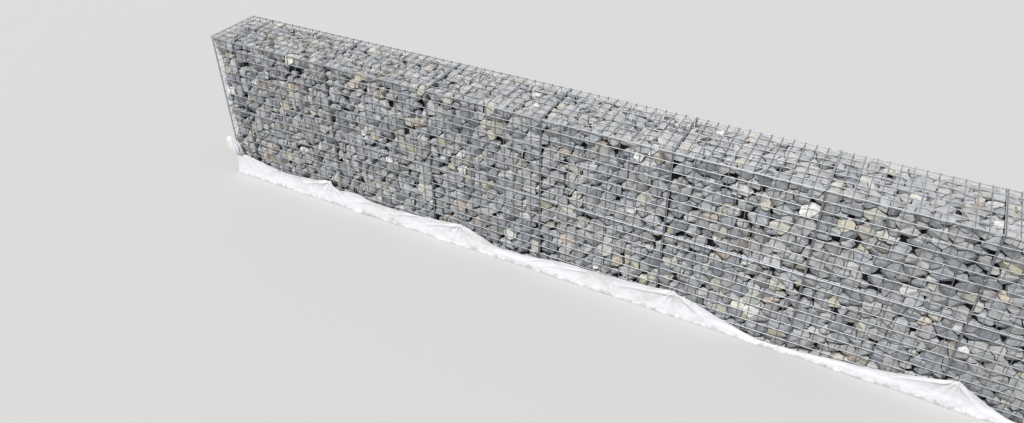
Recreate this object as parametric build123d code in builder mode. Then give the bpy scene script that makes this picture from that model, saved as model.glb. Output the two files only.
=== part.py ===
from build123d import *
import os

# Driving sizes, in millimetres
mesh_pitch = 75.0        # wire centre to wire centre, both ways
wire = 5.0               # thickness of every mesh wire
cells_long = 13          # cells along a whole basket
cells_short = 3          # cells along the cut-down basket at the left end
cells_deep = 7           # cells from front to back
cells_high = 9           # cells up one tier
whole_bays = 7           # whole baskets in each tier
tiers = 2                # rows of baskets, one on the other
weld_gap = 0.2           # between the two wire layers of a panel
seat_gap = 0.3           # between a panel and the one that it stands on or butts against
stone_gap = 0.5          # between the packed stone and the wires around it

cloth_thickness = 4.0    # ground cloth along the foot of the front
cloth_gap = 0.6          # between the cloth's upper edge and the front mesh
cloth_reach = 50.0       # how far its foot lies out from the front mesh
cloth_lean = 14.0        # how far it stands off the mesh where it turns out
cloth_bend = 32.0        # height at which it turns out into its foot
cloth_overhang = 55.0    # its bunched corner reaches past the left end
cloth_corner = 390.0     # height of the bunched corner
cloth_bunch = 110.0      # height and width of the bunch
cloth_steepness = 0.35   # how soon the upper edge flattens out between hook and sag
# Places along the row, in bays from the first joint, and heights of the upper edge
cloth_hooks = [(-0.12, 232.0), (0.88, 220.0), (2.28, 205.0), (4.15, 215.0), (6.08, 215.0), (whole_bays, 150.0)]
cloth_sags = [(0.45, 180.0), (1.45, 158.0), (2.62, 90.0), (4.88, 48.0), (6.55, 60.0)]

os.makedirs("parts", exist_ok=True)

# Sizes that follow from them
panel_thickness = 2 * wire + weld_gap
panel_inset = panel_thickness + seat_gap
joint_gap = wire + 2 * seat_gap
basket_depth = cells_deep * mesh_pitch + wire
side_height = cells_high * mesh_pitch + wire
side_foot = wire + seat_gap
rim_level = side_foot + side_height
tier_height = rim_level + seat_gap
tier_levels = [tier * tier_height for tier in range(tiers)]
wall_height = tier_levels[-1] + rim_level + seat_gap + panel_thickness


def basket_length(cells):
    """Outside length of a basket that is a number of cells long."""
    return cells * mesh_pitch + wire


bay_pitch = basket_length(cells_long) + joint_gap
wall_length = basket_length(cells_short) + whole_bays * bay_pitch

# The footprint, cloth included, is centred on the origin
left_end = (cloth_overhang - wall_length) / 2
right_end = left_end + wall_length
front_face = (cloth_reach - basket_depth) / 2
back_face = front_face + basket_depth
first_joint = left_end + basket_length(cells_short) + joint_gap

# Every basket in a row, as its name, left side and number of cells
baskets = [("end_bay", left_end, cells_short)]
for number in range(whole_bays):
    baskets.append((f"bay_{number + 1}", first_joint + number * bay_pitch, cells_long))

# The mesh floors under each tier are laid in two sheets
sheets = {"left": baskets[: len(baskets) // 2], "right": baskets[len(baskets) // 2:]}


def wire_lines(cells, low_inset=0.0, high_inset=0.0):
    """Centres of the wires across a number of cells, with the edge wires moved in."""
    lines = [wire / 2 + mesh_pitch * count for count in range(cells + 1)]
    lines[0] += low_inset
    lines[-1] -= high_inset
    return lines


def mesh_panel(face, outer_lines, outer_span, inner_lines, inner_span):
    """Welded mesh behind a plane that faces outwards.

    The outer wires run along the plane's X over outer_span, at outer_lines up
    its Y. The inner ones run along its Y over inner_span, at inner_lines.
    """
    with BuildPart() as panel:
        with BuildSketch(face):
            with Locations(*[(sum(outer_span) / 2, line) for line in outer_lines]):
                Rectangle(outer_span[1] - outer_span[0], wire)
        extrude(amount=-wire)
        with BuildSketch(face.offset(-wire - weld_gap)):
            with Locations(*[(line, sum(inner_span) / 2) for line in inner_lines]):
                Rectangle(wire, inner_span[1] - inner_span[0])
        extrude(amount=-wire)
    return panel.part


def side_panel(cells):
    """Long side of a basket, facing -Y, with its lower left corner at the origin."""
    side = Plane(origin=(0, 0, 0), x_dir=(1, 0, 0), z_dir=(0, -1, 0))
    length = basket_length(cells)
    return mesh_panel(side, wire_lines(cells_high), (0, length), wire_lines(cells), (0, side_height))


def end_panel():
    """End of a basket, facing -X, that stands on the floor wires between the long sides."""
    floor_inset = wire + weld_gap
    side = Plane(origin=(0, basket_depth, 0), x_dir=(0, -1, 0), z_dir=(-1, 0, 0))
    return mesh_panel(
        side,
        wire_lines(cells_high, floor_inset),
        (panel_inset, basket_depth - panel_inset),
        wire_lines(cells_deep, panel_inset, panel_inset),
        (floor_inset, side_height),
    )


def lid_panel(cells):
    """Lid with its cross wires on top of its long wires, and its underside at Z zero."""
    top = Plane(origin=(0, basket_depth, panel_thickness), x_dir=(0, -1, 0), z_dir=(0, 0, 1))
    length = basket_length(cells)
    return mesh_panel(top, wire_lines(cells), (0, basket_depth), wire_lines(cells_deep), (0, length))


def floor_sheet(members):
    """Floor of several baskets: cross wires below, long wires inside the baskets above."""
    start = members[0][1]
    length = members[-1][1] + basket_length(members[-1][2]) - start
    cross_lines = [left + line for _, left, cells in members for line in wire_lines(cells)]
    under = Plane(origin=(0, front_face, 0), x_dir=(0, 1, 0), z_dir=(0, 0, -1))
    return mesh_panel(
        under,
        cross_lines,
        (0, basket_depth),
        wire_lines(cells_deep, panel_inset, panel_inset),
        (start, start + length),
    )


def save(builder, name):
    """Label a finished piece and write it to its own file."""
    builder.part.label = name
    export_step(builder.part, f"parts/{name}.step")


# Long sides of every basket, in all tiers, with their level wires outside
side_panels = {cells: side_panel(cells) for cells in (cells_short, cells_long)}
for name, left, cells in baskets:
    right = left + basket_length(cells)
    with BuildPart() as front_mesh:
        with Locations(*[(left, front_face, level + side_foot) for level in tier_levels]):
            add(side_panels[cells])
    save(front_mesh, f"front_mesh_{name}")
    with BuildPart() as back_mesh:
        turned = [Location((right, back_face, level + side_foot), (0, 0, 180)) for level in tier_levels]
        with Locations(*turned):
            add(side_panels[cells])
    save(back_mesh, f"back_mesh_{name}")

# Lids of the top tier, resting on the rims of the sides
lid_panels = {cells: lid_panel(cells) for cells in (cells_short, cells_long)}
for name, left, cells in baskets:
    with BuildPart() as lid_mesh:
        with Locations((left, front_face, tier_levels[-1] + rim_level + seat_gap)):
            add(lid_panels[cells])
    save(lid_mesh, f"lid_mesh_{name}")

# Floors: the bottom tier's lies on the ground, a higher tier's closes the tier below
floors = {"ground_mesh": tier_levels[:1], "middle_mesh": tier_levels[1:]}
for side, members in sheets.items():
    sheet = floor_sheet(members)
    for floor_name, levels in floors.items():
        with BuildPart() as floor_mesh:
            with Locations(*[(0, 0, level) for level in levels]):
                add(sheet)
        save(floor_mesh, f"{floor_name}_{side}")

# End panels of the row
basket_end = end_panel()
with BuildPart() as left_end_mesh:
    with Locations(*[(left_end, front_face, level + side_foot) for level in tier_levels]):
        add(basket_end)
save(left_end_mesh, "left_end_mesh")
with BuildPart() as right_end_mesh:
    turned = [Location((right_end, back_face, level + side_foot), (0, 0, 180)) for level in tier_levels]
    with Locations(*turned):
        add(basket_end)
save(right_end_mesh, "right_end_mesh")

# Partitions in the joints between baskets: only their welded edge wires, because
# the rest is buried in the stone on both sides
partition_foot = panel_thickness + seat_gap
with BuildPart() as partition_frames:
    for level in tier_levels:
        for name, left, cells in baskets[1:]:
            joint = Plane(
                origin=(left - seat_gap, front_face + basket_depth / 2, level + (rim_level + partition_foot) / 2),
                x_dir=(0, 1, 0),
                z_dir=(1, 0, 0),
            )
            with BuildSketch(joint):
                Rectangle(basket_depth - 2 * panel_inset, rim_level - partition_foot)
                offset(amount=-wire, kind=Kind.INTERSECTION, mode=Mode.SUBTRACT)
            extrude(amount=-wire)
save(partition_frames, "partition_frames")

# Packed stone of each basket, as one mass inside its mesh
stone_foot = panel_thickness + stone_gap
stone_top = rim_level + seat_gap - stone_gap
for name, left, cells in baskets:
    stone_left = left
    stone_right = left + basket_length(cells)
    if left == left_end:
        stone_left += panel_thickness + stone_gap
    if left == baskets[-1][1]:
        stone_right -= panel_thickness + stone_gap
    with BuildPart() as stone_fill:
        for level in tier_levels:
            with BuildSketch(Plane.XY.offset(level + stone_foot)):
                with Locations(((stone_left + stone_right) / 2, (front_face + back_face) / 2)):
                    Rectangle(stone_right - stone_left, basket_depth - 2 * (panel_thickness + stone_gap))
            extrude(amount=stone_top - stone_foot)
    save(stone_fill, f"stone_fill_{name}")


def along_row(place, height):
    """A point of the cloth's upper edge, from its place in bays and its height."""
    return (first_joint + place * bay_pitch, height)


# Ground cloth: a thin upstand with a turned-out foot, cut to its wavy upper edge
with BuildPart() as ground_cloth:
    with BuildSketch(Plane.YZ.offset(left_end - cloth_overhang)):
        with BuildLine():
            Polyline(
                (front_face - cloth_gap, cloth_corner),
                (front_face - cloth_gap - cloth_thickness, cloth_corner),
                (front_face - cloth_lean - cloth_thickness, cloth_bend),
                (front_face - cloth_reach, cloth_thickness),
                (front_face - cloth_reach, 0),
                (front_face - cloth_reach + 2 * cloth_thickness, 0),
                (front_face - cloth_lean, cloth_bend - cloth_thickness),
                close=True,
            )
        make_face()
    extrude(amount=wall_length + cloth_overhang)
    with BuildSketch(Plane.XZ.offset(-front_face)):
        with BuildLine():
            start = along_row(*cloth_hooks[0])
            for hook, sag, next_hook in zip(cloth_hooks, cloth_sags, cloth_hooks[1:]):
                fall = sag[0] - hook[0]
                rise = next_hook[0] - sag[0]
                Bezier(
                    along_row(*hook),
                    along_row(hook[0] + cloth_steepness * fall, sag[1]),
                    along_row(*sag),
                )
                Bezier(
                    along_row(*sag),
                    along_row(sag[0] + cloth_steepness * rise, sag[1]),
                    along_row(*next_hook),
                )
            tail = along_row(*cloth_hooks[-1])
            bunch_left = left_end - cloth_overhang
            Polyline(
                tail,
                (tail[0], 0),
                (left_end, 0),
                (left_end, cloth_corner - cloth_bunch),
                (bunch_left, cloth_corner - cloth_bunch),
                (bunch_left, cloth_corner),
                (bunch_left + cloth_bunch, cloth_corner),
                start,
            )
        make_face()
    extrude(amount=cloth_reach + cloth_gap, mode=Mode.INTERSECT)
save(ground_cloth, "ground_cloth")

print("wall", wall_length, basket_depth, wall_height)
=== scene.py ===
import math
import random

import bmesh
import bpy
import numpy as np
from mathutils import Matrix, Vector, noise


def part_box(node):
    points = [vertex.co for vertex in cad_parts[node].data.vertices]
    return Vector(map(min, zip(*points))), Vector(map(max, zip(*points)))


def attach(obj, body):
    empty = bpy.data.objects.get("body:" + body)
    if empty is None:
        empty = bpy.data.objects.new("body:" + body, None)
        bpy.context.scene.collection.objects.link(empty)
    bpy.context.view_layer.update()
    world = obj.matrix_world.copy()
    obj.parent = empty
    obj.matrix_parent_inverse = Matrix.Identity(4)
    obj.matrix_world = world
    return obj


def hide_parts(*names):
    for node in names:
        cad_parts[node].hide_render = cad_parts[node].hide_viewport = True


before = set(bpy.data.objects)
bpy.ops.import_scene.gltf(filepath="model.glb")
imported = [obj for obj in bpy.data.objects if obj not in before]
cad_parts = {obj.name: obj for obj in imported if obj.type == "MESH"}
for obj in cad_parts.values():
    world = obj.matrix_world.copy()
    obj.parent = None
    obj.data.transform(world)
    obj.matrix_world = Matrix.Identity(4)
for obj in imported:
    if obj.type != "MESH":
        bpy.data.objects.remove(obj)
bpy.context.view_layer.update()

# Camera: it stands above the front of the wall, towards the right end, and looks down
# and to the left along the row. Its place is given from the first joint's top corner.
first_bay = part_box("front_mesh_bay_1")
second_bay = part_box("front_mesh_bay_2")
bay_pitch = second_bay[0].x - first_bay[0].x
joint_gap = second_bay[0].x - first_bay[1].x
first_joint = first_bay[0].x - joint_gap / 2
front_face = first_bay[0].y
wall_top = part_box("lid_mesh_bay_1")[1].z
camera_place = Vector((first_joint + 5.169, front_face - 4.509, wall_top + 2.774))
camera_yaw = math.radians(28.26)
camera_pitch = math.radians(35.10)
camera_roll = math.radians(0.47)

bpy.ops.object.camera_add()
camera = bpy.context.object
camera.data.sensor_width = 36.0
camera.data.lens = 28.17
camera.data.shift_x = -0.0028
camera.data.shift_y = -0.0063
camera.matrix_world = (
    Matrix.Translation(camera_place)
    @ Matrix.Rotation(camera_yaw, 4, "Z")
    @ Matrix.Rotation(math.pi / 2 - camera_pitch, 4, "X")
    @ Matrix.Rotation(-camera_roll, 4, "Z")
)
bpy.context.scene.camera = camera
bpy.context.scene.view_settings.view_transform = "Standard"

# Floor: a plain pale sheet of paper under the wall, much larger than the view. It shows
# the wall's shadow and is no part of it.
floor_size = 90.0
floor_colour = (0.53, 0.53, 0.52, 1.0)

bpy.ops.object.select_all(action="DESELECT")
bpy.ops.mesh.primitive_plane_add(size=floor_size)
floor = bpy.context.object
floor.name = "floor"
paper = bpy.data.materials.new("floor_paper")
paper.use_nodes = True
paper_shader = paper.node_tree.nodes["Principled BSDF"]
paper_shader.inputs["Base Color"].default_value = floor_colour
paper_shader.inputs["Roughness"].default_value = 0.9
paper_shader.inputs["Specular IOR Level"].default_value = 0.2
floor.data.materials.append(paper)

# Light: an even pale sky all round, and one broad soft lamp that stands high in front of
# the wall and a little to the left, so that the level wires shine.
sky_light = 0.38
sky_seen = 0.93
lamp_direction = Vector((-0.12, -0.52, 0.84))
lamp_angle = math.radians(12)
lamp_power = 3.6

sky = bpy.data.worlds.new("pale_sky")
sky.use_nodes = True
bpy.context.scene.world = sky
sky_nodes = sky.node_tree.nodes
sky_links = sky.node_tree.links
sky_nodes.clear()
sky_output = sky_nodes.new("ShaderNodeOutputWorld")
sky_mix = sky_nodes.new("ShaderNodeMixShader")
lighting = sky_nodes.new("ShaderNodeBackground")
lighting.inputs["Color"].default_value = (1.0, 1.0, 1.0, 1.0)
lighting.inputs["Strength"].default_value = sky_light
backdrop = sky_nodes.new("ShaderNodeBackground")
backdrop.inputs["Color"].default_value = (1.0, 1.0, 1.0, 1.0)
backdrop.inputs["Strength"].default_value = sky_seen
ray = sky_nodes.new("ShaderNodeLightPath")
seen_or_glossy = sky_nodes.new("ShaderNodeMath")
seen_or_glossy.operation = "MAXIMUM"
seen_at_all = sky_nodes.new("ShaderNodeMath")
seen_at_all.operation = "MAXIMUM"
sky_links.new(ray.outputs["Is Camera Ray"], seen_or_glossy.inputs[0])
sky_links.new(ray.outputs["Is Glossy Ray"], seen_or_glossy.inputs[1])
sky_links.new(seen_or_glossy.outputs[0], seen_at_all.inputs[0])
sky_links.new(ray.outputs["Is Transmission Ray"], seen_at_all.inputs[1])
sky_links.new(seen_at_all.outputs[0], sky_mix.inputs[0])
sky_links.new(lighting.outputs[0], sky_mix.inputs[1])
sky_links.new(backdrop.outputs[0], sky_mix.inputs[2])
sky_links.new(sky_mix.outputs[0], sky_output.inputs[0])

bpy.ops.object.light_add(type="SUN")
lamp = bpy.context.object
lamp.name = "soft_lamp"
lamp.data.angle = lamp_angle
lamp.data.energy = lamp_power
lamp.rotation_euler = (-lamp_direction).to_track_quat("-Z", "Y").to_euler()

# Soil on the foot of the wall: rain throws it up against wire, stone and cloth alike,
# thick at the ground and in a ragged line above. Every finish of the wall uses it.
soil_colour = (0.155, 0.120, 0.088, 1.0)
soil_patch_scale = 16.0
soil_ragged = 0.15

soil = bpy.data.node_groups.new("splashed_soil", "ShaderNodeTree")
soil.interface.new_socket("Colour", in_out="INPUT", socket_type="NodeSocketColor")
soil.interface.new_socket("Height", in_out="INPUT", socket_type="NodeSocketFloat")
soil.interface.new_socket("Fade", in_out="INPUT", socket_type="NodeSocketFloat")
soil.interface.new_socket("Amount", in_out="INPUT", socket_type="NodeSocketFloat")
soil.interface.new_socket("Colour", in_out="OUTPUT", socket_type="NodeSocketColor")
soil_in = soil.nodes.new("NodeGroupInput")
soil_out = soil.nodes.new("NodeGroupOutput")
soil_place = soil.nodes.new("ShaderNodeTexCoord")
soil_split = soil.nodes.new("ShaderNodeSeparateXYZ")
soil_patches = soil.nodes.new("ShaderNodeTexNoise")
soil_patches.inputs["Scale"].default_value = soil_patch_scale
soil_patches.inputs["Detail"].default_value = 6.0
soil_patches.inputs["Roughness"].default_value = 0.7
soil_shift = soil.nodes.new("ShaderNodeMath")
soil_shift.operation = "MULTIPLY_ADD"
soil_shift.inputs[1].default_value = soil_ragged
soil_drop = soil.nodes.new("ShaderNodeMath")
soil_drop.operation = "SUBTRACT"
soil_drop.inputs[1].default_value = soil_ragged / 2
soil_under = soil.nodes.new("ShaderNodeMath")
soil_under.operation = "SUBTRACT"
soil_share = soil.nodes.new("ShaderNodeMath")
soil_share.operation = "DIVIDE"
soil_share.use_clamp = True
soil_weight = soil.nodes.new("ShaderNodeMath")
soil_weight.operation = "MULTIPLY"
soil_mix = soil.nodes.new("ShaderNodeMix")
soil_mix.data_type = "RGBA"
soil_mix.inputs["B"].default_value = soil_colour
soil.links.new(soil_place.outputs["Object"], soil_split.inputs[0])
soil.links.new(soil_place.outputs["Object"], soil_patches.inputs["Vector"])
soil.links.new(soil_patches.outputs["Fac"], soil_shift.inputs[0])
soil.links.new(soil_split.outputs["Z"], soil_shift.inputs[2])
soil.links.new(soil_shift.outputs[0], soil_drop.inputs[0])
soil.links.new(soil_in.outputs["Height"], soil_under.inputs[0])
soil.links.new(soil_drop.outputs[0], soil_under.inputs[1])
soil.links.new(soil_under.outputs[0], soil_share.inputs[0])
soil.links.new(soil_in.outputs["Fade"], soil_share.inputs[1])
soil.links.new(soil_share.outputs[0], soil_weight.inputs[0])
soil.links.new(soil_in.outputs["Amount"], soil_weight.inputs[1])
soil.links.new(soil_weight.outputs[0], soil_mix.inputs["Factor"])
soil.links.new(soil_in.outputs["Colour"], soil_mix.inputs["A"])
soil.links.new(soil_mix.outputs["Result"], soil_out.inputs["Colour"])


def add_soil(material, colour, height, fade, amount):
    """Puts the soil group between a colour output and the material's base colour."""
    group = material.node_tree.nodes.new("ShaderNodeGroup")
    group.node_tree = soil
    group.inputs["Height"].default_value = height
    group.inputs["Fade"].default_value = fade
    group.inputs["Amount"].default_value = amount
    shader = material.node_tree.nodes["Principled BSDF"]
    material.node_tree.links.new(colour, group.inputs["Colour"])
    material.node_tree.links.new(group.outputs["Colour"], shader.inputs["Base Color"])


# Pale on what faces up: dust with painted light on the stones, painted highlight on the
# wires. Sides and undersides stay bare, so level wires look far lighter than upright
# ones. The mask is an output too, because the painted highlight is no longer metal.
dust_and_painted_light = bpy.data.node_groups.new("pale_on_top", "ShaderNodeTree")
dust_and_painted_light.interface.new_socket("Colour", in_out="INPUT", socket_type="NodeSocketColor")
dust_and_painted_light.interface.new_socket("Pale Colour", in_out="INPUT", socket_type="NodeSocketColor")
dust_and_painted_light.interface.new_socket("Start", in_out="INPUT", socket_type="NodeSocketFloat")
dust_and_painted_light.interface.new_socket("Full", in_out="INPUT", socket_type="NodeSocketFloat")
dust_and_painted_light.interface.new_socket("Amount", in_out="INPUT", socket_type="NodeSocketFloat")
dust_and_painted_light.interface.new_socket("Colour", in_out="OUTPUT", socket_type="NodeSocketColor")
dust_and_painted_light.interface.new_socket("Mask", in_out="OUTPUT", socket_type="NodeSocketFloat")
pale_top_in = dust_and_painted_light.nodes.new("NodeGroupInput")
pale_top_out = dust_and_painted_light.nodes.new("NodeGroupOutput")
pale_top_facing = dust_and_painted_light.nodes.new("ShaderNodeNewGeometry")
pale_top_split = dust_and_painted_light.nodes.new("ShaderNodeSeparateXYZ")
pale_top_up = dust_and_painted_light.nodes.new("ShaderNodeMapRange")
pale_top_place = dust_and_painted_light.nodes.new("ShaderNodeTexCoord")
pale_top_patches = dust_and_painted_light.nodes.new("ShaderNodeTexNoise")
pale_top_patches.inputs["Scale"].default_value = 30.0
pale_top_patches.inputs["Detail"].default_value = 5.0
pale_top_uneven = dust_and_painted_light.nodes.new("ShaderNodeMapRange")
pale_top_uneven.inputs["From Min"].default_value = 0.3
pale_top_uneven.inputs["From Max"].default_value = 0.6
pale_top_uneven.inputs["To Min"].default_value = 0.45
pale_top_share = dust_and_painted_light.nodes.new("ShaderNodeMath")
pale_top_share.operation = "MULTIPLY"
pale_top_mask = dust_and_painted_light.nodes.new("ShaderNodeMath")
pale_top_mask.operation = "MULTIPLY"
pale_top_mix = dust_and_painted_light.nodes.new("ShaderNodeMix")
pale_top_mix.data_type = "RGBA"
dust_and_painted_light.links.new(pale_top_facing.outputs["Normal"], pale_top_split.inputs[0])
dust_and_painted_light.links.new(pale_top_split.outputs["Z"], pale_top_up.inputs["Value"])
dust_and_painted_light.links.new(pale_top_in.outputs["Start"], pale_top_up.inputs["From Min"])
dust_and_painted_light.links.new(pale_top_in.outputs["Full"], pale_top_up.inputs["From Max"])
dust_and_painted_light.links.new(pale_top_place.outputs["Object"], pale_top_patches.inputs["Vector"])
dust_and_painted_light.links.new(pale_top_patches.outputs["Fac"], pale_top_uneven.inputs["Value"])
dust_and_painted_light.links.new(pale_top_up.outputs["Result"], pale_top_share.inputs[0])
dust_and_painted_light.links.new(pale_top_uneven.outputs["Result"], pale_top_share.inputs[1])
dust_and_painted_light.links.new(pale_top_share.outputs[0], pale_top_mask.inputs[0])
dust_and_painted_light.links.new(pale_top_in.outputs["Amount"], pale_top_mask.inputs[1])
dust_and_painted_light.links.new(pale_top_mask.outputs[0], pale_top_mix.inputs["Factor"])
dust_and_painted_light.links.new(pale_top_in.outputs["Colour"], pale_top_mix.inputs["A"])
dust_and_painted_light.links.new(pale_top_in.outputs["Pale Colour"], pale_top_mix.inputs["B"])
dust_and_painted_light.links.new(pale_top_mix.outputs["Result"], pale_top_out.inputs["Colour"])
dust_and_painted_light.links.new(pale_top_mask.outputs[0], pale_top_out.inputs["Mask"])


def add_dust_and_painted_light(material, colour, pale_colour, start, full, amount=1.0):
    """Adds the pale top group, dust and painted light, after a colour output and returns its node."""
    group = material.node_tree.nodes.new("ShaderNodeGroup")
    group.node_tree = dust_and_painted_light
    group.inputs["Pale Colour"].default_value = pale_colour
    group.inputs["Start"].default_value = start
    group.inputs["Full"].default_value = full
    group.inputs["Amount"].default_value = amount
    material.node_tree.links.new(colour, group.inputs["Colour"])
    return group


# Welded mesh: drawn steel wires, welded where they cross and then hot-dip galvanised.
# Every square bar of the frame becomes a round wire, a little sunk into the next one,
# and the rims of the two tiers are laced tight together at the seam.
wire_radius = 0.00265
wire_sides = 8
bar_thickness = 0.005
box_corners = 24
tier_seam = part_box("middle_mesh_left")[0].z + bar_thickness / 2
seam_reach = 0.008
zinc_colour = (0.38, 0.40, 0.44, 1.0)
zinc_dull_colour = (0.17, 0.185, 0.21, 1.0)
# Painted highlight: a pale colour, not metal, on what faces up, so that level wires shine; the lids
# get less of it
painted_highlight_colour = (0.77, 0.80, 0.84, 1.0)
lid_painted_highlight = 0.20

zinc = bpy.data.materials.new("galvanised_wire")
zinc.use_nodes = True
zinc_nodes = zinc.node_tree.nodes
zinc_links = zinc.node_tree.links
zinc_shader = zinc_nodes["Principled BSDF"]
zinc_place = zinc_nodes.new("ShaderNodeTexCoord")
spangle = zinc_nodes.new("ShaderNodeTexNoise")
spangle.inputs["Scale"].default_value = 55.0
spangle.inputs["Detail"].default_value = 3.0
zinc_tone = zinc_nodes.new("ShaderNodeMix")
zinc_tone.data_type = "RGBA"
zinc_tone.inputs["A"].default_value = zinc_dull_colour
zinc_tone.inputs["B"].default_value = zinc_colour
zinc_roughness = zinc_nodes.new("ShaderNodeMapRange")
zinc_roughness.inputs["To Min"].default_value = 0.34
zinc_roughness.inputs["To Max"].default_value = 0.50
zinc_links.new(zinc_place.outputs["Object"], spangle.inputs["Vector"])
zinc_links.new(spangle.outputs["Fac"], zinc_tone.inputs["Factor"])
zinc_links.new(spangle.outputs["Fac"], zinc_roughness.inputs["Value"])
zinc_links.new(zinc_roughness.outputs["Result"], zinc_shader.inputs["Roughness"])
# Painted highlight on the tops of the wires, and no metal where it lies
painted_highlight = add_dust_and_painted_light(
    zinc, zinc_tone.outputs["Result"], painted_highlight_colour, start=0.10, full=0.65, amount=0.60
)
metal_off_highlight = zinc_nodes.new("ShaderNodeMapRange")
metal_off_highlight.inputs["To Min"].default_value = 0.90
metal_off_highlight.inputs["To Max"].default_value = 0.05
zinc_links.new(painted_highlight.outputs["Mask"], metal_off_highlight.inputs["Value"])
zinc_links.new(metal_off_highlight.outputs["Result"], zinc_shader.inputs["Metallic"])
add_soil(zinc, painted_highlight.outputs["Colour"], height=0.03, fade=0.04, amount=0.7)

# The lids get less of the painted highlight, so they look darker: a shaded copy of the wire finish
lid_zinc_less_highlight = zinc.copy()
lid_zinc_less_highlight.name = "lid_wire_less_highlight"
lid_zinc_less_highlight.node_tree.nodes[painted_highlight.name].inputs["Amount"].default_value = lid_painted_highlight

bpy.ops.object.select_all(action="DESELECT")
bpy.ops.mesh.primitive_cylinder_add(vertices=wire_sides, radius=1.0, depth=1.0)
one_wire = bpy.context.object


def boxes_of(node):
    """Lowest and highest corner of every box in a CAD node, one after the other."""
    corners = np.array([vertex.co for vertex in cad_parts[node].data.vertices])
    boxes = corners.reshape(-1, box_corners, 3)
    return [(Vector(box.min(axis=0)), Vector(box.max(axis=0))) for box in boxes]


def join_copies(name, copies):
    """One piece made of many copies, which are given as pairs of mesh and matrix."""
    gathered = bmesh.new()
    for mesh, matrix in copies:
        copy = mesh.copy()
        copy.transform(matrix)
        gathered.from_mesh(copy)
        bpy.data.meshes.remove(copy)
    joined = bpy.data.meshes.new(name)
    gathered.to_mesh(joined)
    gathered.free()
    piece = bpy.data.objects.new(name, joined)
    bpy.context.scene.collection.objects.link(piece)
    return piece


def smooth_round(piece, angle):
    """Smooth shading across edges that turn by less than an angle in degrees."""
    bpy.ops.object.select_all(action="DESELECT")
    piece.select_set(True)
    bpy.context.view_layer.objects.active = piece
    bpy.ops.object.shade_smooth_by_angle(angle=math.radians(angle))


def wire_matrix(low, high):
    """Puts the unit cylinder along the longest side of a box."""
    size = high - low
    axis = max(range(3), key=lambda side: size[side])
    direction = Vector([float(side == axis) for side in range(3)])
    turn = direction.to_track_quat("Z", "Y").to_matrix().to_4x4()
    return (
        Matrix.Translation((low + high) / 2)
        @ turn
        @ Matrix.Diagonal((wire_radius, wire_radius, size[axis], 1.0))
    )


def laced(low, high):
    """Moves a level bar beside the seam between the tiers, so that both rims touch."""
    off_seam = (low.z + high.z) / 2 - tier_seam
    if high.x - low.x < high.z - low.z or abs(off_seam) > seam_reach:
        return low, high
    shift = Vector((0.0, 0.0, math.copysign(wire_radius, off_seam) - off_seam))
    return low + shift, high + shift


def dress_in_zinc(piece, finish=zinc):
    """Finish and body that every wire piece shares."""
    smooth_round(piece, 50)
    piece.data.materials.append(finish)
    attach(piece, "root")


for node in [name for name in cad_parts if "_mesh" in name]:
    bars = boxes_of(node)
    if node.startswith(("front", "back")):
        bars = [laced(low, high) for low, high in bars]
    wires = join_copies(
        node.replace("_mesh", "_wires"),
        [(one_wire.data, wire_matrix(low, high)) for low, high in bars],
    )
    dress_in_zinc(wires, lid_zinc_less_highlight if node.startswith("lid") else zinc)
    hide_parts(node)
bpy.data.objects.remove(one_wire)

partition_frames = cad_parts["partition_frames"]
partition_frames.data.materials.clear()
partition_frames.data.materials.append(zinc)

# Stone fill: crushed rock in the rough size of a mesh cell, packed by hand with flat
# breaks against the wires. Each stone is broken where it meets the next one, and only
# the outer layer is made: behind it the fill is one block in near black, painted shade
# that shows in the gaps between the stones.
stone_pitch = Vector((0.097, 0.076, 0.067))
stone_top_pitch = 0.074
stone_sizes = (0.62, 1.55)
stone_spread = (0.53, 0.78)
stone_shake = 0.34
stone_shake_inwards = 0.2
stone_left_out = 0.001
# Loose stones, broken off a block, of which each one in the wall is a copy
stone_kinds = 14
stone_block = 1.9
stone_breaks = 9
stone_break_places = (0.72, 0.98)
# Breaks where stones meet, against the wires and at the joints between the baskets
stone_half_joint = (0.0002, 0.0046)
stone_neighbours = 2.4 * stone_pitch.y
stone_skew = 0.10
stone_bulge = 0.0025
stone_recess = 0.006
stone_face_tilt = 0.17
stone_top_tilt = 0.24
stone_corner_slant = 0.8
stone_corner_reach = 0.014
stone_joint_inset = (0.005, 0.0, 0.0)
stone_seed = 27
core_depth = 0.058
core_overrun = Vector((0.0025, 0.0, 0.0055))

stone_tints = [
    (0.352, 0.363, 0.380),
    (0.305, 0.318, 0.336),
    (0.395, 0.402, 0.412),
    (0.355, 0.362, 0.364),
    (0.262, 0.277, 0.298),
    (0.335, 0.350, 0.345),
    (0.440, 0.438, 0.432),
    (0.362, 0.352, 0.352),
]
rare_tints = [
    (0.640, 0.615, 0.540),
    (0.530, 0.490, 0.405),
    (0.430, 0.420, 0.330),
    (0.500, 0.430, 0.370),
    (0.670, 0.665, 0.645),
    (0.480, 0.480, 0.420),
    (0.350, 0.325, 0.295),
]
rare_share = 0.12
tint_shades = (0.70, 1.10)
# Near black for the fill behind the stones: painted shade in the gaps
core_painted_shade_tint = (0.020, 0.021, 0.024)
# Pale dust on the tops of the stones, together with painted light that makes the tops lighter
dust_and_painted_light_colour = (0.62, 0.61, 0.59, 1.0)


def broken_stone(seed):
    """A block of about unit radius with its corners and edges broken off flat."""
    chance = random.Random(seed)
    bpy.ops.object.select_all(action="DESELECT")
    bpy.ops.mesh.primitive_cube_add(size=stone_block)
    bpy.ops.object.mode_set(mode="EDIT")
    for _ in range(stone_breaks):
        direction = Vector([chance.gauss(0, 1) for _ in range(3)]).normalized()
        bpy.ops.mesh.select_all(action="SELECT")
        bpy.ops.mesh.bisect(
            plane_co=direction * chance.uniform(*stone_break_places),
            plane_no=direction,
            use_fill=True,
            clear_outer=True,
        )
    bpy.ops.object.mode_set(mode="OBJECT")
    return bpy.context.object


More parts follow.
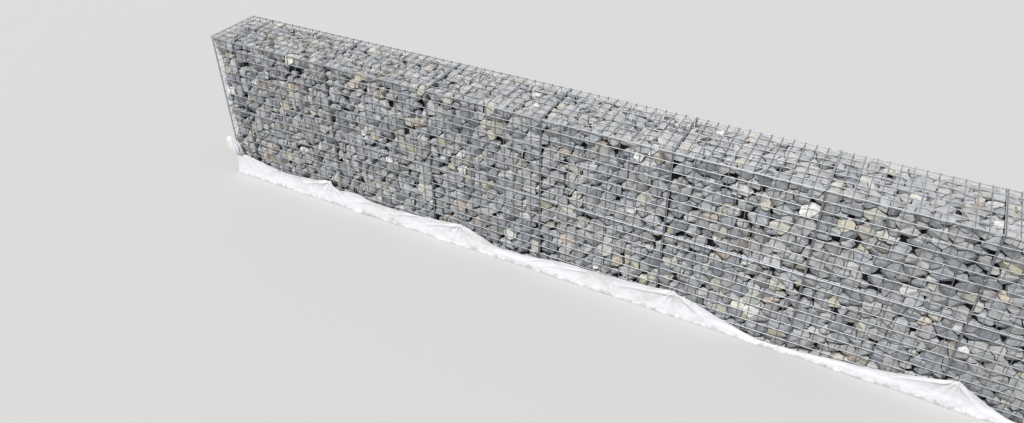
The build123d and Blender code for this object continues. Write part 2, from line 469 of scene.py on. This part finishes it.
def shows(grid, counts, open_sides):
    """Whether a stone of the grid lies on an open side: -X, +X, -Y, +Y, -Z or +Z."""
    for axis in range(3):
        if open_sides[2 * axis] and grid[axis] == 0:
            return True
        if open_sides[2 * axis + 1] and grid[axis] == counts[axis] - 1:
            return True
    return False


def stone_sites(low, high, open_sides, chance):
    """Middles and sizes of the stones in one basket, and whether each one shows.

    The layer under the lid is of smaller pieces, which level it off.
    """
    size = high - low
    counts = [max(2, round(side / step)) for side, step in zip(size, stone_pitch)]
    sites = []
    for level in range(counts[2]):
        under_lid = open_sides[5] and level == counts[2] - 1
        shake = Vector((stone_shake, stone_shake_inwards, stone_shake))
        if under_lid:
            counts[0] = max(2, round(size.x / stone_top_pitch))
            shake = Vector((stone_shake, stone_shake, stone_shake_inwards))
        for row in range(counts[1]):
            stagger = 0.25 if (level + row) % 2 else 0.75
            for column in range(counts[0]):
                if not under_lid and chance.random() < stone_left_out:
                    continue
                middle = low.copy()
                for axis, place in enumerate((column + stagger, row + 0.5, level + 0.5)):
                    place += chance.uniform(-shake[axis], shake[axis])
                    middle[axis] += place * size[axis] / counts[axis]
                shown = shows((column, row, level), counts, open_sides)
                sites.append((middle, chance.uniform(*stone_sizes), shown))
    return sites


def core_block(low, high, open_sides):
    """Corners and faces of the hidden fill, which runs through on the closed sides."""
    inner_low = low.copy()
    inner_high = high.copy()
    for axis in range(3):
        inner_low[axis] += core_depth if open_sides[2 * axis] else -core_overrun[axis]
        inner_high[axis] -= core_depth if open_sides[2 * axis + 1] else -core_overrun[axis]
    corners = [
        Vector((x, y, z))
        for x in (inner_low.x, inner_high.x)
        for y in (inner_low.y, inner_high.y)
        for z in (inner_low.z, inner_high.z)
    ]
    faces = [
        [0, 1, 3, 2],
        [4, 6, 7, 5],
        [0, 4, 5, 1],
        [2, 3, 7, 6],
        [0, 2, 6, 4],
        [1, 5, 7, 3],
    ]
    return corners, faces


def side_breaks(middle, low, high, open_sides, chance):
    """Places and directions of a stone's breaks at the six sides of its basket.

    On an open side a flat break lies against the wires, and a slant takes off a corner.
    """
    breaks = []
    for axis in range(3):
        for side, outward, limit in ((0, -1.0, low), (1, 1.0, high)):
            straight = Vector([outward * (other == axis) for other in range(3)])
            place = middle.copy()
            if not open_sides[2 * axis + side]:
                place[axis] = limit[axis] - outward * stone_joint_inset[axis]
                breaks.append((place, straight))
                continue
            place[axis] = limit[axis] + outward * stone_bulge
            breaks.append((place.copy(), straight))
            tilt = stone_top_tilt if straight.z > 0 else stone_face_tilt
            direction = Vector([chance.uniform(-tilt, tilt) for _ in range(3)])
            direction[axis] = outward
            place[axis] = limit[axis] - outward * chance.uniform(0.0, stone_recess)
            breaks.append((place, direction.normalized()))
            slant = Vector([
                chance.uniform(-stone_corner_slant, stone_corner_slant) for _ in range(3)
            ])
            slant[axis] = outward
            corner = place + slant * chance.uniform(0.0, stone_corner_reach)
            corner[axis] = place[axis]
            breaks.append((corner, slant.normalized()))
    return breaks


def neighbour_breaks(number, sites, middles, chance):
    """Places and directions of a stone's breaks where it meets the stones around it."""
    middle, size, _ = sites[number]
    breaks = []
    distances = np.linalg.norm(middles - np.array(middle), axis=1)
    for other in np.flatnonzero(distances < stone_neighbours):
        if other == number:
            continue
        toward = sites[other][0] - middle
        share = size / (size + sites[other][1])
        direction = toward.normalized()
        place = middle + toward * share - direction * chance.uniform(*stone_half_joint)
        direction += Vector([chance.uniform(-stone_skew, stone_skew) for _ in range(3)])
        breaks.append((place, direction.normalized()))
    return breaks


def break_off(stone, breaks):
    """Cuts a stone back to each of its breaks and closes it there."""
    for place, direction in breaks:
        if all((vertex.co - place).dot(direction) <= 0 for vertex in stone.verts):
            continue
        cut = bmesh.ops.bisect_plane(
            stone,
            geom=stone.verts[:] + stone.edges[:] + stone.faces[:],
            plane_co=place,
            plane_no=direction,
            clear_outer=True,
        )
        rim = [part for part in cut["geom_cut"] if isinstance(part, bmesh.types.BMEdge)]
        bmesh.ops.edgeloop_fill(stone, edges=rim)
    bmesh.ops.recalc_face_normals(stone, faces=stone.faces[:])
    stone.verts.index_update()


def packed_stones(low, high, open_sides, kinds, chance):
    """Corners, faces and tints of the stones that show in one basket."""
    sites = stone_sites(low, high, open_sides, chance)
    middles = np.array([middle for middle, _, _ in sites])
    corners, faces = core_block(low, high, open_sides)
    # The fill behind is coloured as painted shade
    tints = [(*core_painted_shade_tint, 1.0)] * len(corners)
    for number, (middle, size, shown) in enumerate(sites):
        if not shown:
            continue
        turn = Matrix.Rotation(chance.uniform(0, math.tau), 3, "Z")
        turn = turn @ Matrix.Rotation(chance.uniform(0, math.tau), 3, "X")
        turn = turn @ Matrix.Rotation(chance.uniform(0, math.tau), 3, "Y")
        spread = [side * size * chance.uniform(*stone_spread) for side in stone_pitch]
        stone = bmesh.new()
        stone.from_mesh(chance.choice(kinds))
        stone.transform(
            Matrix.Translation(middle) @ Matrix.Diagonal((*spread, 1.0)) @ turn.to_4x4()
        )
        breaks = side_breaks(middle, low, high, open_sides, chance)
        breaks += neighbour_breaks(number, sites, middles, chance)
        break_off(stone, breaks)
        first = len(corners)
        corners += [vertex.co.copy() for vertex in stone.verts]
        faces += [[first + vertex.index for vertex in face.verts] for face in stone.faces]
        palette = rare_tints if chance.random() < rare_share else stone_tints
        shade = chance.uniform(*tint_shades)
        tint = [channel * shade for channel in chance.choice(palette)]
        tints += [(*tint, 1.0)] * len(stone.verts)
        stone.free()
    return corners, faces, tints


stone_material = bpy.data.materials.new("crushed_stone")
stone_material.use_nodes = True
stone_nodes = stone_material.node_tree.nodes
stone_links = stone_material.node_tree.links
stone_shader = stone_nodes["Principled BSDF"]
stone_shader.inputs["Roughness"].default_value = 0.88
stone_shader.inputs["Specular IOR Level"].default_value = 0.3
stone_tint = stone_nodes.new("ShaderNodeAttribute")
stone_tint.attribute_name = "stone_tint"
stone_place = stone_nodes.new("ShaderNodeTexCoord")
mottle = stone_nodes.new("ShaderNodeTexNoise")
mottle.inputs["Scale"].default_value = 34.0
mottle.inputs["Detail"].default_value = 6.0
mottle.inputs["Roughness"].default_value = 0.65
mottle_shade = stone_nodes.new("ShaderNodeMapRange")
mottle_shade.inputs["From Min"].default_value = 0.3
mottle_shade.inputs["From Max"].default_value = 0.7
mottle_shade.inputs["To Min"].default_value = 0.70
mottle_shade.inputs["To Max"].default_value = 1.30
stone_colour = stone_nodes.new("ShaderNodeVectorMath")
stone_colour.operation = "SCALE"
dust_and_painted_light_amount = stone_nodes.new("ShaderNodeMapRange")
dust_and_painted_light_amount.inputs["From Min"].default_value = 0.04
dust_and_painted_light_amount.inputs["From Max"].default_value = 0.12
dust_and_painted_light_amount.inputs["To Max"].default_value = 0.40
grain = stone_nodes.new("ShaderNodeTexNoise")
grain.inputs["Scale"].default_value = 120.0
grain.inputs["Detail"].default_value = 5.0
rough_break = stone_nodes.new("ShaderNodeBump")
rough_break.inputs["Strength"].default_value = 0.5
rough_break.inputs["Distance"].default_value = 0.004
stone_links.new(stone_place.outputs["Object"], mottle.inputs["Vector"])
stone_links.new(stone_place.outputs["Object"], grain.inputs["Vector"])
stone_links.new(mottle.outputs["Fac"], mottle_shade.inputs["Value"])
stone_links.new(stone_tint.outputs["Color"], stone_colour.inputs[0])
stone_links.new(mottle_shade.outputs["Result"], stone_colour.inputs["Scale"])
stone_links.new(stone_tint.outputs["Fac"], dust_and_painted_light_amount.inputs["Value"])
stone_links.new(grain.outputs["Fac"], rough_break.inputs["Height"])
stone_links.new(rough_break.outputs["Normal"], stone_shader.inputs["Normal"])
# Dust and painted light on the tops of the stones; the near black fill gets none
dusted_and_lit = add_dust_and_painted_light(
    stone_material, stone_colour.outputs["Vector"], dust_and_painted_light_colour, start=0.35, full=0.95
)
stone_links.new(dust_and_painted_light_amount.outputs["Result"], dusted_and_lit.inputs["Amount"])
add_soil(stone_material, dusted_and_lit.outputs["Colour"], height=0.05, fade=0.08, amount=0.55)

stone_blocks = [broken_stone(stone_seed + kind) for kind in range(stone_kinds)]
stone_shapes = [block.data for block in stone_blocks]
fill_nodes = sorted(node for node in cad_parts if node.startswith("stone_fill"))
fill_left = min(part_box(node)[0].x for node in fill_nodes)
fill_right = max(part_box(node)[1].x for node in fill_nodes)
for node in fill_nodes:
    chance = random.Random(node)
    corners = []
    faces = []
    tints = []
    baskets = sorted(boxes_of(node), key=lambda box: box[0].z)
    for tier, (low, high) in enumerate(baskets):
        open_sides = (
            low.x == fill_left,
            high.x == fill_right,
            True,
            True,
            tier == 0,
            tier == len(baskets) - 1,
        )
        first = len(corners)
        more_corners, more_faces, more_tints = packed_stones(
            low, high, open_sides, stone_shapes, chance
        )
        corners += more_corners
        faces += [[first + corner for corner in face] for face in more_faces]
        tints += more_tints
    stones = bpy.data.objects.new(
        node.replace("stone_fill", "stones"), bpy.data.meshes.new(node)
    )
    stones.data.from_pydata(corners, [], faces)
    bpy.context.scene.collection.objects.link(stones)
    attribute = stones.data.color_attributes.new("stone_tint", "FLOAT_COLOR", "POINT")
    attribute.data.foreach_set("color", np.array(tints, dtype=np.float32).ravel())
    stones.data.materials.append(stone_material)
    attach(stones, "root")
    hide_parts(node)
for block in stone_blocks:
    bpy.data.objects.remove(block)

# Ring clips: short rings of spring wire, closed with pliers round two edge wires, that
# hold the lids, the tiers and the neighbouring baskets together. They sit between the
# cross wires at no even distance.
mesh_pitch = 0.075
cells_up = round(wall_top / mesh_pitch)
clip_radius = 0.0012
clip_steps = 10
clip_sweep = math.radians(335)
clip_share = 0.16
clip_wander = 0.3
clip_lean = 0.3
clip_first_cell = 0.6
clip_seed = 5
edge_clip = (0.0040, 0.0066)
joint_clip = (0.0040, 0.0092)
lid_rim_depth = 0.0104
edge_inset = 0.0025
upright_inset = 0.0077
back_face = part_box("back_mesh_bay_1")[1].y

# They are newer and brighter than the mesh, and so are the tie wires below
new_zinc = bpy.data.materials.new("bright_wire")
new_zinc.use_nodes = True
new_zinc_nodes = new_zinc.node_tree.nodes
new_zinc_shader = new_zinc_nodes["Principled BSDF"]
new_zinc_shader.inputs["Metallic"].default_value = 0.45
new_zinc_shader.inputs["Roughness"].default_value = 0.38
new_zinc_place = new_zinc_nodes.new("ShaderNodeTexCoord")
drawn_marks = new_zinc_nodes.new("ShaderNodeTexNoise")
drawn_marks.inputs["Scale"].default_value = 140.0
new_zinc_tone = new_zinc_nodes.new("ShaderNodeMix")
new_zinc_tone.data_type = "RGBA"
new_zinc_tone.inputs["A"].default_value = (0.52, 0.53, 0.55, 1.0)
new_zinc_tone.inputs["B"].default_value = (0.86, 0.87, 0.88, 1.0)
new_zinc.node_tree.links.new(new_zinc_place.outputs["Object"], drawn_marks.inputs["Vector"])
new_zinc.node_tree.links.new(drawn_marks.outputs["Fac"], new_zinc_tone.inputs["Factor"])
add_soil(new_zinc, new_zinc_tone.outputs["Result"], height=0.03, fade=0.04, amount=0.7)


def bent_wire(name, points, radius):
    """A round wire bent along a line of points, with its cut ends closed."""
    path = bpy.data.curves.new(name, "CURVE")
    path.dimensions = "3D"
    path.bevel_depth = radius
    path.bevel_resolution = 1
    path.use_fill_caps = True
    line = path.splines.new("POLY")
    line.points.add(len(points) - 1)
    for point, place in zip(line.points, points):
        point.co = (*place, 1.0)
    wire = bpy.data.objects.new(name, path)
    bpy.context.scene.collection.objects.link(wire)
    bpy.ops.object.select_all(action="DESELECT")
    wire.select_set(True)
    bpy.context.view_layer.objects.active = wire
    bpy.ops.object.convert(target="MESH")
    return wire


def ring_points(half_width, half_height):
    """Points round an open oval ring that stands in the YZ plane."""
    angles = [clip_sweep * step / clip_steps for step in range(clip_steps + 1)]
    return [(0.0, half_width * math.cos(a), half_height * math.sin(a)) for a in angles]


edge_ring = bent_wire("edge_ring", ring_points(*edge_clip), clip_radius)
joint_ring = bent_wire("joint_ring", ring_points(*joint_clip), clip_radius)

chance = random.Random(clip_seed)
rings = []
bays = [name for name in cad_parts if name.startswith("front_mesh")]
for bay in bays:
    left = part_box(bay)[0].x
    cells = round((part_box(bay)[1].x - left) / mesh_pitch)
    for depth, turn in ((front_face + edge_inset, 0.0), (back_face - edge_inset, math.pi)):
        for height in (wall_top - lid_rim_depth, tier_seam):
            for cell in range(cells):
                if chance.random() > clip_share:
                    continue
                wander = chance.uniform(-clip_wander, clip_wander)
                place = Vector((left + (cell + 0.5 + wander) * mesh_pitch, depth, height))
                lean = Matrix.Rotation(chance.uniform(-clip_lean, clip_lean), 4, "Z")
                spin = Matrix.Rotation(turn, 4, "Z")
                rings.append((edge_ring.data, Matrix.Translation(place) @ spin @ lean))
lying = Matrix.Rotation(math.pi / 2, 4, "Y") @ Matrix.Rotation(math.pi, 4, "X")
for joint in range(len(bays) - 1):
    for depth in (front_face + upright_inset, back_face - upright_inset):
        for cell in range(cells_up):
            if chance.random() > clip_share:
                continue
            height = (cell + clip_first_cell + chance.uniform(-clip_wander, clip_wander)) * mesh_pitch
            place = Vector((first_joint + bay_pitch * joint, depth, height))
            rings.append((joint_ring.data, Matrix.Translation(place) @ lying))
clips = join_copies("ring_clips", rings)
for ring in (edge_ring, joint_ring):
    bpy.data.objects.remove(ring)
dress_in_zinc(clips, new_zinc)

# Tie wires: soft wire that was laced round the mesh where it bulged. Their cut ends
# were left standing off the face as small bright hooks and loops. The back has the
# like in other places.
tie_radius = 0.0019
tie_steps = 9
tie_stand_off = 0.007
tie_tuck = 0.004
# Place along the row in bays, depth below the top in bays, radius, first and last angle
front_ties = [
    (2.64, 0.33, 0.020, 20, 190),
    (2.78, 0.35, 0.075, -18, 20),
    (2.95, 0.115, 0.018, 10, 175),
    (3.17, 0.21, 0.022, 60, 215),
    (3.32, 0.23, 0.016, -60, 120),
    (3.36, 0.42, 0.019, 0, 160),
    (3.18, 0.65, 0.024, 100, 240),
    (3.04, 0.93, 0.060, 70, 115),
    (3.35, 1.02, 0.021, 30, 200),
    (4.35, 0.54, 0.027, -20, 130),
    (4.95, 0.06, 0.017, 0, 170),
]
back_ties = [
    (0.62, 0.31, 0.020, 10, 175),
    (1.72, 0.58, 0.024, -50, 110),
    (3.05, 0.12, 0.018, 20, 190),
    (4.41, 0.37, 0.060, 65, 110),
    (5.28, 0.92, 0.021, 0, 160),
    (6.36, 0.22, 0.016, 30, 205),
]


def tie_points(radius, first_angle, last_angle, outward):
    """Points along a hooked wire end that stands off the face in its middle."""
    points = []
    for step in range(tie_steps + 1):
        share = step / tie_steps
        angle = math.radians(first_angle + (last_angle - first_angle) * share)
        off = -tie_tuck + (tie_stand_off + tie_tuck) * math.sin(math.pi * share)
        points.append((radius * math.cos(angle), outward * off, radius * math.sin(angle)))
    return points


ends = []
for ties, face, outward in ((front_ties, front_face, -1.0), (back_ties, back_face, 1.0)):
    for along, depth, radius, first_angle, last_angle in ties:
        place = Vector((first_joint + along * bay_pitch, face, wall_top - depth * bay_pitch))
        points = tie_points(radius, first_angle, last_angle, outward)
        ends.append((bent_wire("tie", points, tie_radius), Matrix.Translation(place)))
tie_wires = join_copies("tie_wires", [(end.data, matrix) for end, matrix in ends])
for end, _ in ends:
    bpy.data.objects.remove(end)
dress_in_zinc(tie_wires, new_zinc)

# Ground cloth: white needle-punched felt that runs on under the wall. Its edge is
# turned up against the front, hooked to a level wire here and there, and sags between.
cloth_thickness = 0.0022
cloth_clear = 0.0020
cloth_lean = 0.019
cloth_bend = 0.046
cloth_bend_share = 0.55
cloth_reach = (0.034, 0.0455)
cloth_upstand_rows = 26
cloth_foot_rows = 9
cloth_column = 0.0072
# Where the foot turns out: how far its curve is drawn out and up, and where it ends
cloth_turn_out = 0.010
cloth_turn_up = 0.006
cloth_foot_height = 0.0015
# A low edge stands loose off the mesh, and a high one is pulled tight
cloth_loose_edge = 0.09
cloth_tight_edge = 0.21
cloth_loose_lift = 0.009
cloth_loose_depth = 0.03
cloth_foot_lift = 1.2
# Waves of the edge and of the foot, as rate along, layer of the noise and height, and
# wrinkles, which have a rate up as well and stand on a base
cloth_edge_wave = (9.0, 4.0, 0.004)
cloth_foot_waves = [(3.1, 7.0, 0.012), (9.0, 2.0, 0.007)]
cloth_wrinkles = [(6.0, 9.0, 1.0, 0.0055), (24.0, 30.0, 3.0, 0.0022), (70.0, 80.0, 9.0, 0.0010)]
cloth_wrinkle_base = 0.00275
# Creases widen and fall off from their first end to the other, pleats fan out below a hook
crease_widths = (0.006, 0.015)
crease_fall = 0.6
pleat_lift = 0.013
pleat_reach = 0.12
pleat_root = 0.015
pleat_rate = 13.0
pleat_above = 0.01
# The upper edge, as places in bays from the first joint and heights: one row for the
# stretch from the wall's corner to the first hook, and one from each hook to the next
cloth_spans = [
    [(-0.242, 0.226), (-0.10, 0.205), (0.30, 0.155), (0.62, 0.167)],
    [(0.89, 0.220), (0.97, 0.152), (1.17, 0.168), (1.38, 0.133), (1.80, 0.150)],
    [(2.27, 0.200), (2.46, 0.150), (2.64, 0.092), (3.00, 0.114), (3.22, 0.150), (3.68, 0.165)],
    [(4.14, 0.212), (4.50, 0.105), (4.75, 0.036), (4.92, 0.024), (5.22, 0.055), (5.70, 0.120)],
    [(6.09, 0.222), (6.30, 0.105), (6.46, 0.045), (6.62, 0.060), (7.0, 0.150)],
]
# Long creases of the pulled cloth: both ends as place and height, and how far they stand
cloth_creases = [
    (4.13, 0.180, 3.70, 0.105, 0.014),
    (4.14, 0.195, 4.11, 0.060, 0.009),
    (4.17, 0.185, 4.42, 0.045, 0.011),
    (2.26, 0.180, 1.92, 0.090, 0.012),
    (2.28, 0.190, 2.25, 0.060, 0.008),
    (2.30, 0.170, 2.46, 0.045, 0.010),
    (0.86, 0.195, 0.56, 0.100, 0.011),
    (0.88, 0.205, 0.87, 0.060, 0.009),
    (0.90, 0.170, 1.04, 0.055, 0.010),
    (6.05, 0.190, 5.72, 0.085, 0.012),
    (6.08, 0.200, 6.07, 0.050, 0.010),
    (6.11, 0.180, 6.26, 0.050, 0.012),
    (-0.10, 0.215, 0.10, 0.060, 0.009),
    (3.42, 0.130, 3.02, 0.060, 0.009),
    (3.05, 0.110, 2.86, 0.050, 0.007),
    (5.45, 0.110, 5.10, 0.045, 0.009),
    (4.98, 0.045, 4.70, 0.040, 0.008),
    (1.80, 0.135, 1.50, 0.070, 0.009),
    (1.30, 0.120, 1.12, 0.070, 0.007),
    (0.30, 0.165, 0.12, 0.090, 0.008),
    (6.80, 0.115, 6.60, 0.045, 0.008),
]


def smooth_stretch(before, start, end, after, count):
    """Points of a smooth curve from start to end, without the last one."""
    points = []
    for step in range(count):
        t = step / count
        points.append([
            b + 0.5 * t * (c - a + t * (2 * a - 5 * b + 4 * c - d + t * (3 * b - a - 3 * c + d)))
            for a, b, c, d in zip(before, start, end, after)
        ])
    return points


cloth_hooks = [span[0] for span in cloth_spans]
edge = []
for number, span in enumerate(cloth_spans):
    knots = span + cloth_hooks[number + 1 : number + 2]
    for before, start, end, after in zip(
        knots[:1] + knots, knots, knots[1:], knots[2:] + knots[-1:]
    ):
        count = round((end[0] - start[0]) * bay_pitch / cloth_column)
        edge += smooth_stretch(before, start, end, after, count)
edge.append(cloth_spans[-1][-1])


def between(value, low, high):
    """A value kept between a low and a high one."""
    return min(max(value, low), high)


def crease_height(x, z):
    """How far the long creases lift the cloth at a point."""
    lift = 0.0
    for start_place, start_z, end_place, end_z, height in cloth_creases:
        start = Vector((first_joint + start_place * bay_pitch, start_z))
        line = Vector((first_joint + end_place * bay_pitch, end_z)) - start
        offset = Vector((x, z)) - start
        share = between(offset.dot(line) / line.length_squared, 0.0, 1.0)
        distance = (offset - line * share).length
        width = crease_widths[0] + (crease_widths[1] - crease_widths[0]) * share
        lift += height * math.exp(-distance / width) * (1.0 - crease_fall * share)
    return lift


def pleat_height(x, z):
    """How far the small pleats that fan out under each hook lift the cloth."""
    lift = 0.0
    for place, height in cloth_hooks:
        across = x - (first_joint + place * bay_pitch)
        down = height - z
        away = math.hypot(across, down)
        fade = math.exp(-away / pleat_reach) * (1.0 - math.exp(-away / pleat_root))
        fan = math.cos(pleat_rate * math.atan2(across, down + pleat_above))
        lift += pleat_lift * fade * (0.5 + 0.5 * fan)
    return lift


def turned_out(start, middle, end, share):
    """A value on a curve that leaves its start towards the middle one."""
    return (1 - share) ** 2 * start + 2 * share * (1 - share) * middle + share**2 * end


def cloth_point(along, height, row):
    """A point of the cloth from its column's place and edge height, and its row."""
    x = first_joint + along * bay_pitch
    rate, layer, size = cloth_edge_wave
    height += size * noise.noise(Vector((x * rate, 0.0, layer)))
    bend = min(cloth_bend, cloth_bend_share * height)
    reach = sum(cloth_reach) / 2
    for rate, layer, size in cloth_foot_waves:
        reach += size * noise.noise(Vector((x * rate, layer, 0.0)))
    reach = between(reach, *cloth_reach)
    if row <= cloth_upstand_rows:
        foot = 0.0
        share = row / cloth_upstand_rows
        z = height + (bend - height) * share
        off = cloth_lean * share * share
    else:
        foot = (row - cloth_upstand_rows) / cloth_foot_rows
        z = turned_out(bend, cloth_turn_up, cloth_foot_height, foot)
        off = turned_out(cloth_lean, cloth_lean + cloth_turn_out, reach, foot)
    tight = between((height - cloth_loose_edge) / (cloth_tight_edge - cloth_loose_edge), 0.0, 1.0)
    lift = cloth_loose_lift * (1.0 - tight) * math.exp((z - height) / cloth_loose_depth)
    lift += cloth_wrinkle_base + crease_height(x, z) + pleat_height(x, z)
    for rate_along, rate_up, layer, size in cloth_wrinkles:
        lift += size * noise.noise(Vector((x * rate_along, z * rate_up, layer)))
    off = between(off + lift * (1.0 - foot), 0.0, cloth_reach[1])
    z += cloth_foot_lift * lift * foot * (1.0 - foot)
    return Vector((x, front_face - cloth_clear - off, z))


def join_seams(piece):
    """Merges the doubled points of a bent grid and turns its faces outwards."""
    bpy.ops.object.select_all(action="DESELECT")
    piece.select_set(True)
    bpy.context.view_layer.objects.active = piece
    bpy.ops.object.mode_set(mode="EDIT")
    bpy.ops.mesh.select_all(action="SELECT")
    bpy.ops.mesh.remove_doubles(threshold=1e-5)
    bpy.ops.mesh.normals_make_consistent(inside=False)
    bpy.ops.object.mode_set(mode="OBJECT")


rows = cloth_upstand_rows + cloth_foot_rows
bpy.ops.object.select_all(action="DESELECT")
bpy.ops.mesh.primitive_grid_add(x_subdivisions=len(edge) - 1, y_subdivisions=rows, size=1.0)
cloth = bpy.context.object
cloth.name = "turned_up_cloth"
for vertex in cloth.data.vertices:
    column = round((vertex.co.x + 0.5) * (len(edge) - 1))
    row = round((0.5 - vertex.co.y) * rows)
    vertex.co = cloth_point(*edge[column], row)
join_seams(cloth)
thicken = cloth.modifiers.new("thickness", "SOLIDIFY")
thicken.thickness = cloth_thickness
thicken.offset = 0.0
bpy.ops.object.modifier_apply(modifier=thicken.name)
bpy.ops.object.shade_smooth()

felt = bpy.data.materials.new("white_geotextile")
felt.use_nodes = True
felt_nodes = felt.node_tree.nodes
felt_links = felt.node_tree.links
felt_shader = felt_nodes["Principled BSDF"]
felt_shader.inputs["Roughness"].default_value = 0.9
felt_shader.inputs["Specular IOR Level"].default_value = 0.25
felt_place = felt_nodes.new("ShaderNodeTexCoord")
stains = felt_nodes.new("ShaderNodeTexNoise")
stains.inputs["Scale"].default_value = 5.0
stains.inputs["Detail"].default_value = 8.0
stains.inputs["Roughness"].default_value = 0.68
stain_share = felt_nodes.new("ShaderNodeMapRange")
stain_share.inputs["From Min"].default_value = 0.50
stain_share.inputs["From Max"].default_value = 0.70
stain_share.inputs["To Max"].default_value = 0.55
stained = felt_nodes.new("ShaderNodeMix")
stained.data_type = "RGBA"
stained.inputs["A"].default_value = (0.69, 0.69, 0.72, 1.0)
stained.inputs["B"].default_value = (0.44, 0.41, 0.37, 1.0)
fibres = felt_nodes.new("ShaderNodeTexNoise")
fibres.inputs["Scale"].default_value = 420.0
fibres.inputs["Detail"].default_value = 3.0
fibre_bump = felt_nodes.new("ShaderNodeBump")
fibre_bump.inputs["Strength"].default_value = 0.25
fibre_bump.inputs["Distance"].default_value = 0.001
felt_links.new(felt_place.outputs["Object"], stains.inputs["Vector"])
felt_links.new(felt_place.outputs["Object"], fibres.inputs["Vector"])
felt_links.new(stains.outputs["Fac"], stain_share.inputs["Value"])
felt_links.new(stain_share.outputs["Result"], stained.inputs["Factor"])
felt_links.new(fibres.outputs["Fac"], fibre_bump.inputs["Height"])
felt_links.new(fibre_bump.outputs["Normal"], felt_shader.inputs["Normal"])
add_soil(felt, stained.outputs["Result"], height=0.022, fade=0.045, amount=0.75)


def dress_in_felt(piece):
    """Finish and body that the pieces of the cloth share."""
    piece.data.materials.append(felt)
    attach(piece, "root")


dress_in_felt(cloth)
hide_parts("ground_cloth")

# Bunched corner: the cloth's left corner is gathered in the hand, tied off at the neck
# and left standing up as a soft pleated knob that leans away from the wall.
bunch_columns = 132
bunch_rows = 22
bunch_pleats = 12
bunch_neck = 0.222
bunch_root = 0.012
bunch_top = 0.388
bunch_lean = 0.060
bunch_half_width = 0.068
bunch_half_depth = 0.022
bunch_neck_share = 0.10
bunch_belly = 0.85
bunch_fullness = 0.7
bunch_pleat_depth = 0.50
bunch_crumple_depth = 0.30
bunch_crumple_rise = 0.010
bunch_crumple_rates = (1.7, 3.0)
bunch_inset = 0.080
bunch_stand_off = 0.025
bunch_centre = Vector((
    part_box("ground_cloth")[0].x + bunch_inset,
    front_face - bunch_stand_off,
    0.0,
))

bpy.ops.object.select_all(action="DESELECT")
bpy.ops.mesh.primitive_grid_add(x_subdivisions=bunch_columns, y_subdivisions=bunch_rows, size=1.0)
bunch = bpy.context.object
bunch.name = "bunched_corner"
for vertex in bunch.data.vertices:
    angle = math.tau * round((vertex.co.x + 0.5) * bunch_columns) / bunch_columns
    share = vertex.co.y + 0.5
    around = Vector((math.cos(angle), math.sin(angle), 0.0))
    swell = math.sin(math.pi * share**bunch_belly) ** bunch_fullness
    swell += bunch_neck_share * (1.0 - share)
    folds = abs(math.sin((bunch_pleats * angle + math.sin(2 * angle)) / 2 + share)) - 0.5
    upwards = Vector((0.0, 0.0, share * bunch_crumple_rates[1]))
    crumple = noise.noise(around * bunch_crumple_rates[0] + upwards)
    swell *= 1.0 + bunch_pleat_depth * folds + bunch_crumple_depth * crumple
    z = bunch_neck - bunch_root + (bunch_top - bunch_neck + bunch_root) * share
    z += bunch_crumple_rise * crumple * math.sin(math.pi * share)
    vertex.co = bunch_centre + Vector((
        bunch_half_width * swell * around.x - bunch_lean * share,
        bunch_half_depth * swell * around.y,
        z,
    ))
join_seams(bunch)
bpy.ops.object.shade_smooth()
dress_in_felt(bunch)

# Cloth loops: bright wire pushed through the cloth's edge at each hook and bent round the
# level wire above, and one more that is wound round the neck of the bunched corner.
hook_row = 3
hook_wire = first_bay[0].z + bar_thickness / 2 + hook_row * mesh_pitch
loop_pierce = 0.012
loop_slack = 0.006
loop_half_width = 0.0075
loop_stand_off = 0.0015
neck_half_width = 0.0125
neck_half_depth = 0.0115
neck_climb = 0.0012
neck_round = 12
neck_steps = 20
neck_sink = 0.002

loops = []
for place, height in cloth_hooks[1:]:
    pierced = height - loop_pierce
    half_height = (hook_wire - pierced) / 2 + loop_slack
    points = ring_points(loop_half_width, half_height)
    middle = Vector((
        first_joint + place * bay_pitch,
        front_face - loop_stand_off,
        (hook_wire + pierced) / 2,
    ))
    loops.append((bent_wire("loop", points, tie_radius), Matrix.Translation(middle)))
neck_angles = [math.tau * step / neck_round for step in range(neck_steps)]
neck = [
    (neck_half_width * math.cos(angle), neck_half_depth * math.sin(angle), neck_climb * step)
    for step, angle in enumerate(neck_angles)
]
neck_place = bunch_centre + Vector((0.0, 0.0, bunch_neck - neck_sink))
loops.append((bent_wire("loop", neck, tie_radius), Matrix.Translation(neck_place)))
cloth_loops = join_copies("cloth_loops", [(loop.data, matrix) for loop, matrix in loops])
for loop, _ in loops:
    bpy.data.objects.remove(loop)
dress_in_zinc(cloth_loops, new_zinc)
